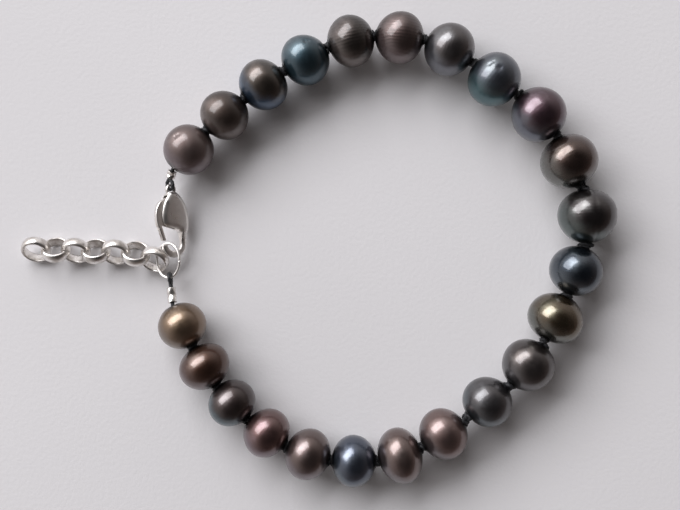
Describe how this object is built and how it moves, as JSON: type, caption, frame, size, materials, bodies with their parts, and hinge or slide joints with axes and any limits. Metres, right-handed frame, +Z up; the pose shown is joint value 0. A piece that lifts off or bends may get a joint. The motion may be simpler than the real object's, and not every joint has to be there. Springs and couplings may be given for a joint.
{
  "type": "pearl bracelet",
  "caption": "Bracelet of dyed freshwater pearls knotted on black silk, with a silver lobster clasp, an oval jump ring and a short extension chain, lying flat in an open loop.",
  "frame": {"origin": "centre of the bounding box, on the surface that the bracelet lies on", "axes": "+Z up from the surface, +X away from the clasp, along the chain and across the loop, +Y from the lower crimp towards the clasp's eye"},
  "size_m": [0.0864, 0.0686, 0.0086],
  "materials": {
    "pearl_taupe": "lustrous dyed nacre, taupe grey-brown",
    "pearl_brown": "lustrous dyed nacre, dark brown",
    "pearl_bronze": "lustrous dyed nacre, olive bronze",
    "pearl_mauve": "lustrous dyed nacre, mauve to plum",
    "pearl_slate": "lustrous dyed nacre, dark silver-grey",
    "pearl_teal": "lustrous dyed nacre, blue-green grey",
    "pearl_steel": "lustrous dyed nacre, steel blue",
    "silver": "polished silver",
    "silk": "black twisted silk"
  },
  "bodies": {
    "bracelet": {"pearl_01": "pearl_taupe", "pearl_02": "pearl_brown", "pearl_03": "pearl_brown", "pearl_04": "pearl_teal", "pearl_05": "pearl_taupe", "pearl_06": "pearl_mauve", "pearl_07": "pearl_slate", "pearl_08": "pearl_teal", "pearl_09": "pearl_mauve", "pearl_10": "pearl_bronze", "pearl_11": "pearl_slate", "pearl_12": "pearl_steel", "pearl_13": "pearl_bronze", "pearl_14": "pearl_brown", "pearl_15": "pearl_steel", "pearl_16": "pearl_brown", "pearl_17": "pearl_taupe", "pearl_18": "pearl_steel", "pearl_19": "pearl_mauve", "pearl_20": "pearl_mauve", "pearl_21": "pearl_steel", "pearl_22": "pearl_brown", "pearl_23": "pearl_bronze", "silk_thread": "silk", "crimp_upper": "silver", "crimp_lower": "silver", "clasp_body": "silver", "jump_ring": "silver", "chain_link_01": "silver", "chain_link_02": "silver", "chain_link_03": "silver", "chain_link_04": "silver", "chain_link_05": "silver", "chain_link_06": "silver", "chain_link_07": "silver"},
    "lever": {"clasp_lever": "silver"}
  },
  "joints": [
    {"name": "lever_pivot", "type": "hinge", "parent": "bracelet", "child": "lever", "pos_m": [-0.02167, 0.00666, 0.00327], "axis": [0.6711, 0.0102, 0.7413], "range_deg": [0, 20], "stiffness_Nm_per_rad": 0.004, "springref_deg": -17.19}
  ]
}
